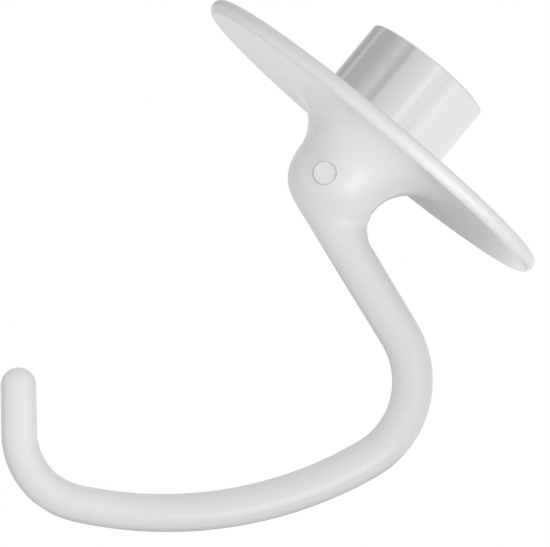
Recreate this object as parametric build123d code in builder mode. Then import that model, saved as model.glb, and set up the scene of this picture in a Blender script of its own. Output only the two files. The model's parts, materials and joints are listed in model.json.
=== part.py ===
"""Stand mixer dough hook: one aluminium casting, from the turned hub to the rounded tip.

Millimetres. The shaft's axis is Z and the top of the oval plate is at Z = 0, with the hub
above it. The plate's long axis is X, and the hook curves below it in the plane Y = 0.
"""

import math
import os

from build123d import *

# Hub: a turned sleeve that goes over the mixer's shaft.
hub_d = 36.2
hub_h = 20.9
hub_rim_r = 0.5
hub_foot_r = 1.0

# Blind bore for a half-inch shaft, with a slot for the shaft's cross pin.
bore_d = 12.9
bore_depth = 24.5
bore_mouth = 0.8
pin_slot_w = 5.2
pin_slot_r = 10.8
pin_slot_depth = 13.6
pin_turn_h = 5.4
pin_turn_deg = 55.0

# Oval plate that keeps the dough from climbing to the hub.
plate_l = 109.0
plate_w = 60.0
plate_t = 4.4
plate_edge_r = 2.1

# Round neck under the plate, and the elbow that turns it into the rod.
neck_d = 25.9
neck_h = 12.9
flare_gap = 0.4
corner_r = 8.4
waist_deg = 40.0
elbow_steps = 5
elbow_bias = 1.2
elbow_lead = 0.5
elbow_tail = 0.5

# Rod: a straight run, a bend, a long belly, a curl and a straight tip.
rod_root_d = 11.1
rod_tip_d = 9.4
rod_drop_deg = 19.4
run_l = 23.1
bend_r = 24.0
bend_deg = 90.8
belly_r = 106.9
belly_deg = 42.6
curl_r = 19.0
curl_deg = 76.8
tip_l = 12.6

# Round ejector mark on the front of the neck.
mark_d = 6.0
mark_x = -3.4
mark_below = 2.5
mark_y = 12.1

# Levels and corners that follow from the sizes above. The heel is the round that touches both
# the neck's side and the rod's lower edge, centred on the level where the elbow starts.
elbow_z = -plate_t - neck_h
mark_z = elbow_z - mark_below
drop = math.radians(rod_drop_deg)
elbow_turn = math.pi / 2 - drop
neck_r = neck_d / 2
rod_root_r = rod_root_d / 2
flare_r = plate_w / 2 - plate_edge_r - flare_gap
corner_x = neck_r + corner_r
under_line = corner_r + rod_root_d
heel_r = (under_line - (neck_r + corner_x) * math.sin(drop)) / (1 - math.sin(drop))
heel_x = corner_x + neck_r - heel_r
heel_end = math.atan2(heel_r * math.cos(drop), heel_x + heel_r * math.sin(drop))


def elbow_reach(turn: float) -> float:
    """Distance from the inner corner's centre to the outside of the elbow.

    The outside is the heel's arc as far as it touches the rod's lower edge, and that
    straight edge from there on.

    Args:
        turn: Angle turned from the level section, in radians.

    Returns:
        The distance in millimetres.
    """
    if turn < heel_end:
        return heel_x * math.cos(turn) + math.sqrt(heel_r**2 - (heel_x * math.sin(turn)) ** 2)
    return under_line / math.cos(elbow_turn - turn)


def elbow_half_width(turn: float) -> float:
    """Half the elbow's width from front to back.

    It eases from the neck's radius to the rod's, and gets there at the waist, before the
    elbow has turned all the way.

    Args:
        turn: Angle turned from the level section, in radians.

    Returns:
        The half width in millimetres.
    """
    share = min(turn / math.radians(waist_deg), 1)
    return neck_r + (rod_root_r - neck_r) * share**2 * (3 - 2 * share)


with BuildPart() as dough_hook:
    # Oval plate with a rounded edge.
    with BuildSketch(Plane.XY.offset(-plate_t)):
        Ellipse(plate_l / 2, plate_w / 2)
    extrude(amount=plate_t)
    fillet(dough_hook.edges(), plate_edge_r)

    # Hub on the plate.
    with BuildSketch(Plane.XY):
        Circle(hub_d / 2)
    extrude(amount=hub_h)
    hub_foot = dough_hook.edges().filter_by(GeomType.CIRCLE).group_by(Axis.Z)[0]
    fillet(hub_foot, hub_foot_r)
    hub_rim = dough_hook.edges().filter_by(GeomType.CIRCLE).group_by(Axis.Z)[-1]
    fillet(hub_rim, hub_rim_r)

    # Neck, flaring out to the edge of the plate's flat underside.
    with BuildSketch(Plane.XZ):
        with BuildLine():
            Line((0, elbow_z), (neck_r, elbow_z))
            EllipticalCenterArc((flare_r, elbow_z), flare_r - neck_r, neck_h, 90, arc_size=90)
            Polyline((flare_r, -plate_t), (flare_r, -plate_t / 2), (0, -plate_t / 2), (0, elbow_z))
        make_face()
    revolve(axis=Axis.Z)

    # Elbow: oval sections fanned about the centre of the inner corner, closer together at the
    # heel, with a round one inside the neck to lead in and another on the rod.
    corner = Vector(corner_x, 0, elbow_z)
    with BuildSketch(Plane((0, 0, elbow_z + elbow_lead), (-1, 0, 0), (0, 0, -1))):
        Circle(neck_r)
    for step in range(elbow_steps + 1):
        turn = elbow_turn * (step / elbow_steps) ** elbow_bias
        reach = elbow_reach(turn)
        out = Vector(-math.cos(turn), 0, -math.sin(turn))
        ahead = Vector(math.sin(turn), 0, -math.cos(turn))
        middle = corner + out * (reach + corner_r) / 2
        with BuildSketch(Plane(middle, out, ahead)):
            Ellipse((reach - corner_r) / 2, elbow_half_width(turn))
    root = middle + ahead * elbow_tail
    with BuildSketch(Plane(root, out, ahead)):
        Circle(rod_root_r)
    loft()

    # Rod, tapering from the elbow to the rounded tip.
    with BuildLine(Plane.XZ) as spine:
        run = Line(root, root + ahead * (run_l - elbow_tail))
        bend = JernArc(run @ 1, run % 1, bend_r, -bend_deg)
        belly = JernArc(bend @ 1, bend % 1, belly_r, -belly_deg)
        curl = JernArc(belly @ 1, belly % 1, curl_r, -curl_deg)
        tip = Line(curl @ 1, curl @ 1 + (curl % 1) * tip_l)
    across = Vector(0, 1, 0)
    with BuildSketch(Plane(run @ 0, across, run % 0)):
        Circle(rod_root_r)
    with BuildSketch(Plane(tip @ 1, across, tip % 1)):
        Circle(rod_tip_d / 2)
    sweep(path=spine.wires()[0], multisection=True)
    with Locations(Plane(tip @ 1, across, tip % 1)):
        Sphere(rod_tip_d / 2, arc_size1=0, align=(Align.CENTER, Align.CENTER, Align.MIN))

    # Flat ejector mark, proud of the round neck on one side.
    with BuildSketch(Plane.XZ.offset(mark_y)):
        with Locations((mark_x, mark_z)):
            Circle(mark_d / 2)
    extrude(amount=mark_d, mode=Mode.SUBTRACT)
    with BuildSketch(Plane.XZ.offset(mark_y)):
        with Locations((mark_x, mark_z)):
            Circle(mark_d / 2)
    extrude(amount=-mark_d)

    # Shaft bore, and the pin's slot: down from the mouth, then a turn to one side.
    with BuildSketch(Plane.XY.offset(hub_h)):
        Circle(bore_d / 2)
    extrude(amount=-bore_depth, mode=Mode.SUBTRACT)
    top_rings = dough_hook.edges().filter_by(GeomType.CIRCLE).group_by(Axis.Z)[-1]
    chamfer(top_rings.sort_by(SortBy.RADIUS)[0], bore_mouth)
    with BuildSketch(Plane.XY.offset(hub_h)):
        with Locations((0, pin_slot_r / 2)):
            Rectangle(pin_slot_w, pin_slot_r)
    extrude(amount=-pin_slot_depth, mode=Mode.SUBTRACT)
    with BuildSketch(Plane.YZ):
        with Locations((pin_slot_r / 2, hub_h - pin_slot_depth + pin_turn_h / 2)):
            Rectangle(pin_slot_r, pin_turn_h)
    revolve(axis=Axis.Z, revolution_arc=pin_turn_deg, mode=Mode.SUBTRACT)

dough_hook.part.label = "dough_hook"
os.makedirs("parts", exist_ok=True)
export_step(dough_hook.part, "parts/dough_hook.step")
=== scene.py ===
"""Looks of the stand mixer dough hook: its coat, its turned hub, the studio and the camera.

Sizes are written in millimetres and go to metres where Blender takes them. The frame is the
part's own: Z along the shaft with the oval plate's top at 0, X along the plate.
"""

import json
import logging
import math
from dataclasses import dataclass
from enum import Enum

import bpy
import numpy as np
from mathutils import Matrix, Vector

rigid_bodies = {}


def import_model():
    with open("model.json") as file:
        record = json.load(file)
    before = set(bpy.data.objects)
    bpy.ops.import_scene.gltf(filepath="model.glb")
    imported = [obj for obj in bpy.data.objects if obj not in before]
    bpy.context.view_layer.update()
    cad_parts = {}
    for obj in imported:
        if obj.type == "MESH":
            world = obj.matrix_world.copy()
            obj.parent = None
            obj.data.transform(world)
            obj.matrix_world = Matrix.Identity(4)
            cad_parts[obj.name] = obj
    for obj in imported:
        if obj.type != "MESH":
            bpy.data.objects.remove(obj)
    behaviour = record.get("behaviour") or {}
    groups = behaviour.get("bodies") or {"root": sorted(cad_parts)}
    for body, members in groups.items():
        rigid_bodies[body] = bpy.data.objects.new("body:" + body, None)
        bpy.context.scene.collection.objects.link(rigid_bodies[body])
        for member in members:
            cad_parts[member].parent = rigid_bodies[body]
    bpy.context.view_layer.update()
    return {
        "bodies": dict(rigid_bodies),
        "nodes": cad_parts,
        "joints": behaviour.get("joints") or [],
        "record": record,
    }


MM = 0.001

# Tones of the card that the turned hub mirrors, as a bearing and a level: grey on the left with
# two paler strips, and white from the front round to the right, brightest in one strip there.
HUB_TONES = (
    (-175.0, 0.82),
    (-141.0, 0.5),
    (-129.0, 0.56),
    (-121.0, 0.77),
    (-112.0, 0.57),
    (-84.0, 0.6),
    (-58.0, 0.79),
    (-42.0, 0.62),
    (-34.0, 0.85),
    (4.0, 1.03),
    (12.0, 1.2),
    (20.0, 1.04),
    (38.0, 0.95),
    (56.0, 1.16),
    (130.0, 1.13),
    (175.0, 0.96),
)

log = logging.getLogger("dough_hook")


class Surface(Enum):
    """The two kinds of surface on the casting, in the order of its material slots."""

    COAT = 0
    BARE = 1


class Ray(Enum):
    """The kinds of ray that see the white background itself."""

    CAMERA = "Is Camera Ray"
    GLOSSY = "Is Glossy Ray"
    TRANSMISSION = "Is Transmission Ray"


class Shows(Enum):
    """Where a lamp or a card shows: on the surface's own colour, or in the gloss over it."""

    ON_COLOUR = "colour"
    IN_GLOSS = "gloss"


def linear(hex_colour: str) -> tuple[float, float, float, float]:
    """Turns an sRGB hex colour into linear light.

    Args:
        hex_colour: Colour as "#rrggbb".

    Returns:
        Linear red, green, blue and an alpha of 1.
    """
    parts = [int(hex_colour[i : i + 2], 16) / 255 for i in (1, 3, 5)]
    light = [c / 12.92 if c <= 0.04045 else ((c + 0.055) / 1.055) ** 2.4 for c in parts]
    return (*light, 1.0)


def per_metre(size_mm: float) -> float:
    """Scale of a pattern on metre coordinates whose features are size_mm across."""
    return 1 / (size_mm * MM)


def add(tree: bpy.types.NodeTree, kind: str, inputs: dict | None = None, **settings) -> bpy.types.Node:
    """Adds a node, sets its properties and fills or links its inputs.

    Args:
        tree: Node tree that gets the node.
        kind: Blender's type name of the node.
        inputs: Socket name or number to a value, or to the output socket that feeds it.
        settings: The node's own properties.

    Returns:
        The new node.
    """
    made = tree.nodes.new(kind)
    for name, value in settings.items():
        setattr(made, name, value)
    for socket, value in (inputs or {}).items():
        if isinstance(value, bpy.types.NodeSocket):
            tree.links.new(value, made.inputs[socket])
        else:
            made.inputs[socket].default_value = value
    return made


def blank_material(name: str) -> bpy.types.Material:
    """An empty node material of that name."""
    made = bpy.data.materials.new(name)
    made.use_nodes = True
    made.node_tree.nodes.clear()
    return made


@dataclass(frozen=True)
class GlossEnamel:
    """White polyester enamel, sprayed on the casting and baked.

    It gives the eye a smooth, wet-looking white with soft reflections, slow waves where it ran,
    a faint orange peel and a rare speck of dirt under the gloss. A thin grey line of painted
    shade stands in for the shadow in the step round the ejector mark on the front of the neck.
    """

    name: str = "gloss_enamel_on_cast_aluminium"
    colour: str = "#e6e6e6"
    shade: str = "#e0e0e0"
    speck: str = "#8c8a88"
    # Grey of the painted shade line for the shadow in the step round the ejector mark.
    step_shade: str = "#cacaca"
    cloud_mm: float = 30.0
    cloud_detail: float = 2.0
    flow_mm: float = 16.0
    flow_depth_mm: float = 0.05
    peel_mm: float = 1.8
    peel_depth_mm: float = 0.006
    bump_detail: float = 1.0
    speck_cell_mm: float = 8.0
    speck_r_mm: float = 0.2
    speck_share: float = 0.12
    # Ejector mark's middle and radius, ringed by the painted shade line, and that line's half width.
    mark_x: float = -3.4
    mark_z: float = -19.8
    mark_r: float = 3.0
    step_shade_half_mm: float = 0.12
    roughness: float = 0.2
    ior: float = 1.5

    def paint_step_shade(
        self, tree: bpy.types.NodeTree, place: bpy.types.NodeSocket, unshaded: bpy.types.NodeSocket
    ) -> bpy.types.NodeSocket:
        """Adds the line of painted shade round the ejector mark, on the front only.

        Args:
            tree: Node tree of the enamel.
            place: Object coordinates.
            unshaded: Colour of the enamel without the line.

        Returns:
            The colour with the line.
        """
        # A thin darker ring at the mark's radius, front only: painted shade for the step's shadow.
        mark = (self.mark_x * MM, 0.0, self.mark_z * MM)
        about = add(tree, "ShaderNodeVectorMath", {0: place, 1: mark}, operation="SUBTRACT").outputs[0]
        upright = {0: about, 1: (1.0, 0.0, 1.0)}
        flat = add(tree, "ShaderNodeVectorMath", upright, operation="MULTIPLY").outputs[0]
        reach = add(tree, "ShaderNodeVectorMath", {0: flat}, operation="LENGTH").outputs["Value"]
        step = add(
            tree,
            "ShaderNodeMath",
            {0: reach, 1: self.mark_r * MM, 2: self.step_shade_half_mm * MM},
            operation="COMPARE",
        ).outputs[0]
        depth = add(tree, "ShaderNodeSeparateXYZ", {0: place}).outputs["Y"]
        front = add(tree, "ShaderNodeMath", {0: depth, 1: 0.0}, operation="LESS_THAN").outputs[0]
        line = add(tree, "ShaderNodeMath", {0: step, 1: front}, operation="MULTIPLY").outputs[0]
        mixed = add(
            tree, "ShaderNodeMix", {"Factor": line, "A": unshaded, "B": linear(self.step_shade)}, data_type="RGBA"
        )
        return mixed.outputs["Result"]

    def build(self) -> bpy.types.Material:
        """Makes the material.

        Returns:
            The enamel, patterned on Object coordinates.
        """
        made = blank_material(self.name)
        tree = made.node_tree
        place = add(tree, "ShaderNodeTexCoord").outputs["Object"]
        cloud = add(
            tree,
            "ShaderNodeTexNoise",
            {"Vector": place, "Scale": per_metre(self.cloud_mm), "Detail": self.cloud_detail},
        )
        white = add(
            tree,
            "ShaderNodeMix",
            {"Factor": cloud.outputs["Fac"], "A": linear(self.colour), "B": linear(self.shade)},
            data_type="RGBA",
        )
        cells = add(tree, "ShaderNodeTexVoronoi", {"Vector": place, "Scale": per_metre(self.speck_cell_mm)})
        near = add(
            tree,
            "ShaderNodeMath",
            {0: cells.outputs["Distance"], 1: self.speck_r_mm / self.speck_cell_mm},
            operation="LESS_THAN",
        )
        lot = add(tree, "ShaderNodeSeparateColor", {"Color": cells.outputs["Color"]})
        drawn = add(
            tree, "ShaderNodeMath", {0: lot.outputs["Red"], 1: self.speck_share}, operation="LESS_THAN"
        )
        speck = add(tree, "ShaderNodeMath", {0: near.outputs[0], 1: drawn.outputs[0]}, operation="MULTIPLY")
        dirty = add(
            tree,
            "ShaderNodeMix",
            {"Factor": speck.outputs[0], "A": white.outputs["Result"], "B": linear(self.speck)},
            data_type="RGBA",
        )
        flow = add(
            tree,
            "ShaderNodeTexNoise",
            {"Vector": place, "Scale": per_metre(self.flow_mm), "Detail": self.bump_detail},
        )
        wavy = add(
            tree,
            "ShaderNodeBump",
            {"Strength": 1.0, "Distance": self.flow_depth_mm * MM, "Height": flow.outputs["Fac"]},
        )
        peel = add(
            tree,
            "ShaderNodeTexNoise",
            {"Vector": place, "Scale": per_metre(self.peel_mm), "Detail": self.bump_detail},
        )
        rough = add(
            tree,
            "ShaderNodeBump",
            {
                "Strength": 1.0,
                "Distance": self.peel_depth_mm * MM,
                "Height": peel.outputs["Fac"],
                "Normal": wavy.outputs["Normal"],
            },
        )
        shader = add(
            tree,
            "ShaderNodeBsdfPrincipled",
            {
                "Base Color": self.paint_step_shade(tree, place, dirty.outputs["Result"]),
                "Roughness": self.roughness,
                "IOR": self.ior,
                "Normal": rough.outputs["Normal"],
            },
        )
        add(tree, "ShaderNodeOutputMaterial", {"Surface": shader.outputs["BSDF"]})
        return made


@dataclass(frozen=True)
class TurnedAluminium:
    """Bare cast aluminium, turned on a lathe.

    The tool leaves fine rings round the axis, which draw every reflection out along it. They
    are drawn coarser than a real cut, so that they just show.
    """

    name: str = "turned_aluminium"
    colour: str = "#dddcdc"
    shade: str = "#d7d6d6"
    ring_mm: float = 0.35
    ring_depth_mm: float = 0.001
    ring_detail: float = 1.0
    roughness: float = 0.16
    anisotropy: float = 0.7
    stretch_turn: float = 0.25

    def build(self) -> bpy.types.Material:
        """Makes the material. The rings run on height plus distance from the axis.

        Returns:
            The metal, patterned on Object coordinates.
        """
        made = blank_material(self.name)
        tree = made.node_tree
        place = add(tree, "ShaderNodeTexCoord").outputs["Object"]
        flat = add(tree, "ShaderNodeVectorMath", {0: place, 1: (1.0, 1.0, 0.0)}, operation="MULTIPLY")
        radius = add(tree, "ShaderNodeVectorMath", {0: flat.outputs["Vector"]}, operation="LENGTH")
        split = add(tree, "ShaderNodeSeparateXYZ", {0: place})
        feed = add(
            tree, "ShaderNodeMath", {0: radius.outputs["Value"], 1: split.outputs["Z"]}, operation="ADD"
        )
        rings = add(
            tree,
            "ShaderNodeTexNoise",
            {"W": feed.outputs[0], "Scale": per_metre(self.ring_mm), "Detail": self.ring_detail},
            noise_dimensions="1D",
        )
        metal = add(
            tree,
            "ShaderNodeMix",
            {"Factor": rings.outputs["Fac"], "A": linear(self.colour), "B": linear(self.shade)},
            data_type="RGBA",
        )
        groove = add(
            tree,
            "ShaderNodeBump",
            {"Strength": 1.0, "Distance": self.ring_depth_mm * MM, "Height": rings.outputs["Fac"]},
        )
        around = add(tree, "ShaderNodeTangent", direction_type="RADIAL", axis="Z")
        shader = add(
            tree,
            "ShaderNodeBsdfPrincipled",
            {
                "Base Color": metal.outputs["Result"],
                "Metallic": 1.0,
                "Roughness": self.roughness,
                "Anisotropic": self.anisotropy,
                "Anisotropic Rotation": self.stretch_turn,
                "Normal": groove.outputs["Normal"],
                "Tangent": around.outputs["Tangent"],
            },
        )
        add(tree, "ShaderNodeOutputMaterial", {"Surface": shader.outputs["BSDF"]})
        return made


@dataclass
class Casting:
    """The hook itself, which keeps its solid and gets its two finishes."""

    node: str = "dough_hook"
    hub_r: float = 18.1
    foot_r: float = 1.0
    coat: GlossEnamel = GlossEnamel()
    bare: TurnedAluminium = TurnedAluminium()

    def bare_faces(self, mesh: bpy.types.Mesh) -> np.ndarray:
        """Finds the turned faces: those above the hub's foot and no further out than its wall.

        Args:
            mesh: The casting's mesh, in metres.

        Returns:
            One truth value for each face.
        """
        middles = np.empty(len(mesh.polygons) * 3, np.float32)
        mesh.polygons.foreach_get("center", middles)
        x, y, z = middles.reshape(-1, 3).T / MM
        return (z > self.foot_r) & (np.hypot(x, y) < self.hub_r + self.foot_r / 2)

    def dress(self, frame: dict) -> None:
        """Gives the coat and the bare metal to the faces that have them.

        Args:
            frame: The loaded frame.
        """
        mesh = frame["nodes"][self.node].data
        finishes = {Surface.COAT: self.coat, Surface.BARE: self.bare}
        mesh.materials.clear()
        for surface in Surface:
            mesh.materials.append(finishes[surface].build())
        bare = self.bare_faces(mesh)
        slots = np.where(bare, Surface.BARE.value, Surface.COAT.value).astype(np.int32)
        mesh.polygons.foreach_set("material_index", slots)
        mesh.update()
        log.info("%s: %d coated and %d bare faces", self.node, (~bare).sum(), bare.sum())


@dataclass
class PhotoCamera:
    """A long lens at the photograph's viewing angle."""

    aim: tuple[float, float, float] = (3.32, -1.34, -47.1)
    elevation_deg: float = -8.5
    lean_deg: float = 39.64
    frame_w: float = 144.32
    distance: float = 4000.0
    sensor_w: float = 36.0
    clip_end: float = 100000.0

    def place(self) -> None:
        """Makes the camera: it looks along +Y, a little upwards, and leans to its left."""
        data = bpy.data.cameras.new("camera")
        data.sensor_width = self.sensor_w
        data.lens = self.sensor_w * self.distance / self.frame_w
        data.clip_end = self.clip_end * MM
        camera = bpy.data.objects.new("camera", data)
        tilt = Matrix.Rotation(math.radians(90 - self.elevation_deg), 4, "X")
        lean = Matrix.Rotation(math.radians(self.lean_deg), 4, "Z")
        turned = tilt @ lean
        back = turned.to_3x3() @ Vector((0, 0, self.distance))
        camera.matrix_world = Matrix.Translation((Vector(self.aim) + back) * MM) @ turned
        bpy.context.scene.collection.objects.link(camera)
        bpy.context.scene.camera = camera
        log.info("camera: %.0f mm lens at %.1f m", data.lens, self.distance * MM)


@dataclass(frozen=True)
class Softbox:
    """A flat lamp that faces the hook, out of sight itself."""

    name: str
    middle: tuple[float, float, float]
    width: float
    height: float
    radiance: float
    shows: Shows
    aim: tuple[float, float, float] = (3.0, 0.0, -67.0)
    spread_deg: float = 180.0

    def place(self) -> None:
        """Hangs the lamp. Its power is its radiance times its area times pi, whatever its spread."""
        data = bpy.data.lights.new(self.name, "AREA")
        data.shape = "RECTANGLE"
        data.size, data.size_y = self.width * MM, self.height * MM
        data.energy = self.radiance * data.size * data.size_y * math.pi
        data.spread = math.radians(self.spread_deg)
        lamp = bpy.data.objects.new(self.name, data)
        middle = Vector(self.middle) * MM
        turned = (middle - Vector(self.aim) * MM).to_track_quat("Z", "Y").to_matrix().to_4x4()
        lamp.matrix_world = Matrix.Translation(middle) @ turned
        lamp.visible_camera = False
        lamp.visible_glossy = self.shows is Shows.IN_GLOSS
        lamp.visible_diffuse = self.shows is Shows.ON_COLOUR
        bpy.context.scene.collection.objects.link(lamp)
        log.info("%s: %.2g W", self.name, data.energy)


@dataclass(frozen=True)
class ToneWall:
    """A curved upright card of soft tones round the shaft's axis, never seen by the camera.

    A tone is a bearing in degrees to the viewer's right and a level, where 1 is white. A card
    may show in reflections only, or only shade the colour.
    """

    name: str
    distance: float
    low: float
    high: float
    tones: tuple[tuple[float, float], ...]
    shows: tuple[Shows, ...] = (Shows.ON_COLOUR, Shows.IN_GLOSS)
    step_deg: float = 1.0

    def place(self) -> None:
        """Builds the card: two rows of points on a ring, each lit at its bearing's tone.

        A point stands at the sine of its bearing to the right and the cosine to the front,
        times the distance, and tones between the given ones are read off a straight line.
        """
        bearings, levels = np.array(self.tones).T
        turns = np.arange(bearings[0], bearings[-1] + self.step_deg / 2, self.step_deg)
        ring = np.column_stack([np.sin(np.radians(turns)), -np.cos(np.radians(turns))]) * self.distance
        rows = [np.column_stack([ring, np.full(len(turns), height)]) for height in (self.low, self.high)]
        first = np.arange(len(turns) - 1)
        faces = np.column_stack([first, first + 1, first + 1 + len(turns), first + len(turns)])
        mesh = bpy.data.meshes.new(self.name)
        mesh.from_pydata((np.vstack(rows) * MM).tolist(), [], faces.tolist())
        tone = mesh.attributes.new("tone", "FLOAT", "POINT")
        tone.data.foreach_set("value", np.tile(np.interp(turns, bearings, levels), 2).astype(np.float32))
        paper = blank_material(self.name + "_paper")
        level = add(paper.node_tree, "ShaderNodeAttribute", attribute_name="tone")
        lit = add(paper.node_tree, "ShaderNodeEmission", {"Strength": level.outputs["Fac"]})
        add(paper.node_tree, "ShaderNodeOutputMaterial", {"Surface": lit.outputs[0]})
        mesh.materials.append(paper)
        wall = bpy.data.objects.new(self.name, mesh)
        wall.visible_camera = False
        wall.visible_glossy = Shows.IN_GLOSS in self.shows
        wall.visible_diffuse = Shows.ON_COLOUR in self.shows
        wall.visible_shadow = Shows.ON_COLOUR in self.shows
        bpy.context.scene.collection.objects.link(wall)
        log.info("%s: %d tones", self.name, len(self.tones))


@dataclass
class Studio:
    """White room: a pale floor well under the hook, soft light all round, lamps and grey cards.

    The floor is white where it is seen, apart from a small share that keeps the hook's shadow.
    """

    floor_z: float = -760.0
    floor_side: float = 24000.0
    floor_colour: str = "#dcdcdc"
    floor_white: float = 0.96
    room_colour: str = "#ffffff"
    room_level: float = 0.70
    lamps: tuple[Softbox, ...] = (
        Softbox("key_lamp", (638.0, -743.0, -250.0), 590.0, 540.0, 1.9, Shows.IN_GLOSS),
        Softbox("high_lamp", (318.0, -745.0, 325.0), 400.0, 240.0, 1.6, Shows.IN_GLOSS),
        Softbox("front_lamp", (0.0, -1000.0, -200.0), 600.0, 600.0, 1.15, Shows.ON_COLOUR),
        Softbox("upper_right_lamp", (600.0, -750.0, 250.0), 600.0, 600.0, 0.6, Shows.ON_COLOUR),
        Softbox("low_right_lamp", (550.0, -600.0, -630.0), 600.0, 600.0, 1.32, Shows.ON_COLOUR),
        Softbox("low_left_lamp", (-550.0, -600.0, -630.0), 600.0, 600.0, 1.05, Shows.ON_COLOUR),
        Softbox("back_fill", (-300.0, 300.0, -250.0), 300.0, 300.0, 1.0, Shows.ON_COLOUR),
        Softbox(
            "plate_fill", (60.0, -100.0, -75.0), 30.0, 30.0, 0.76, Shows.ON_COLOUR,
            aim=(10.0, -22.0, 8.0), spread_deg=44.0,
        ),
        Softbox(
            "wing_fill", (-50.0, -32.0, -86.0), 30.0, 30.0, 0.24, Shows.ON_COLOUR,
            aim=(-38.0, -4.0, 0.0), spread_deg=52.0,
        ),
        Softbox(
            "wing_end_fill", (75.0, -90.0, -60.0), 30.0, 30.0, 0.26, Shows.ON_COLOUR,
            aim=(53.0, 0.0, -3.0), spread_deg=22.0,
        ),
        Softbox(
            "rim_fill", (30.0, -5.0, 120.0), 120.0, 60.0, 0.16, Shows.ON_COLOUR,
            aim=(28.0, -20.0, 0.0), spread_deg=80.0,
        ),
        Softbox(
            "tip_fill", (10.0, -160.0, -80.0), 60.0, 60.0, 0.11, Shows.ON_COLOUR,
            aim=(-25.0, 0.0, -116.0), spread_deg=24.0,
        ),
        Softbox("back_lamp", (-24.0, 420.0, -66.0), 40.0, 110.0, 0.25, Shows.IN_GLOSS),
    )
    walls: tuple[ToneWall, ...] = (
        ToneWall("hub_wall", 700.0, 0.0, 400.0, HUB_TONES, (Shows.IN_GLOSS,)),
        ToneWall("low_back_wall", 260.0, -500.0, -45.0, ((100.0, 0.75), (128.0, 0.34), (175.0, 0.34))),
        ToneWall("low_left_wall", 260.0, -500.0, -70.0, ((-180.0, 0.39), (-110.0, 0.39))),
        ToneWall(
            "right_wing_wall", 80.0, -42.0, -2.0,
            ((122.0, 1.1), (138.0, 1.1), (143.0, 0.75), (149.0, 0.42), (156.0, 0.33), (172.0, 0.33)),
        ),
        ToneWall(
            "left_rim_wall", 105.0, -2.0, 150.0,
            ((-115.0, 0.45), (-60.0, 0.45), (-25.0, 0.68)), (Shows.ON_COLOUR,),
        ),
        ToneWall("left_wing_wall", 80.0, -42.0, -2.0, ((-172.0, 0.9), (-120.0, 0.9))),
        ToneWall("left_under_wall", 80.0, -150.0, -42.0, ((-172.0, 0.9), (-120.0, 0.9)), (Shows.IN_GLOSS,)),
    )

    def seen_directly(self, tree: bpy.types.NodeTree) -> bpy.types.NodeSocket:
        """Adds a test for the rays that see the background itself.

        Args:
            tree: Node tree of the world or the floor.

        Returns:
            Socket that is 1 for those rays and 0 for the rest.
        """
        path = add(tree, "ShaderNodeLightPath")
        seen = path.outputs[Ray.CAMERA.value]
        for ray in (Ray.GLOSSY, Ray.TRANSMISSION):
            either = {0: seen, 1: path.outputs[ray.value]}
            seen = add(tree, "ShaderNodeMath", either, operation="MAXIMUM").outputs[0]
        return seen

    def light_room(self) -> None:
        """Makes the world: white where it is seen, and a plain level of soft light elsewhere."""
        world = bpy.data.worlds.new("white_room")
        world.use_nodes = True
        tree = world.node_tree
        tree.nodes.clear()
        colour = linear(self.room_colour)
        soft = add(tree, "ShaderNodeBackground", {"Color": colour, "Strength": self.room_level})
        white = add(tree, "ShaderNodeBackground", {"Color": colour, "Strength": 1.0})
        mixed = add(
            tree,
            "ShaderNodeMixShader",
            {0: self.seen_directly(tree), 1: soft.outputs[0], 2: white.outputs[0]},
        )
        add(tree, "ShaderNodeOutputWorld", {"Surface": mixed.outputs[0]})
        bpy.context.scene.world = world

    def lay_floor(self) -> None:
        """Lays the floor: one flat square, white where it is seen and lit like paper elsewhere.

        It is clear from below, so that a low view still shows the hook.
        """
        half = self.floor_side / 2 * MM
        square = np.array([(-1, -1), (1, -1), (1, 1), (-1, 1)]) * half
        points = np.column_stack([square, np.full(len(square), self.floor_z * MM)])
        mesh = bpy.data.meshes.new("floor")
        mesh.from_pydata(points.tolist(), [], [(0, 1, 2, 3)])
        paper = blank_material("white_paper_floor")
        tree = paper.node_tree
        matt = add(tree, "ShaderNodeBsdfDiffuse", {"Color": linear(self.floor_colour)})
        white = add(tree, "ShaderNodeEmission", {"Strength": 1.0})
        seen = self.seen_directly(tree)
        share = add(tree, "ShaderNodeMath", {0: seen, 1: self.floor_white}, operation="MULTIPLY").outputs[0]
        mixed = add(tree, "ShaderNodeMixShader", {0: share, 1: matt.outputs[0], 2: white.outputs[0]})
        under = add(tree, "ShaderNodeNewGeometry").outputs["Backfacing"]
        clear = add(tree, "ShaderNodeBsdfTransparent")
        sided = add(tree, "ShaderNodeMixShader", {0: under, 1: mixed.outputs[0], 2: clear.outputs[0]})
        add(tree, "ShaderNodeOutputMaterial", {"Surface": sided.outputs[0]})
        mesh.materials.append(paper)
        floor = bpy.data.objects.new("floor", mesh)
        bpy.context.scene.collection.objects.link(floor)
        log.info("floor: %.0f m wide", self.floor_side * MM)

    def build(self) -> None:
        """Makes the room, the floor, the lamps and the cards."""
        bpy.context.scene.view_settings.view_transform = "Standard"
        self.light_room()
        self.lay_floor()
        for lamp in self.lamps:
            lamp.place()
        for wall in self.walls:
            wall.place()


def main() -> None:
    """Builds the dressed hook, the studio and the camera."""
    logging.basicConfig(level=logging.INFO, format="%(name)s: %(message)s")
    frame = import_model()
    Casting().dress(frame)
    Studio().build()
    PhotoCamera().place()


if __name__ == "__main__":
    main()
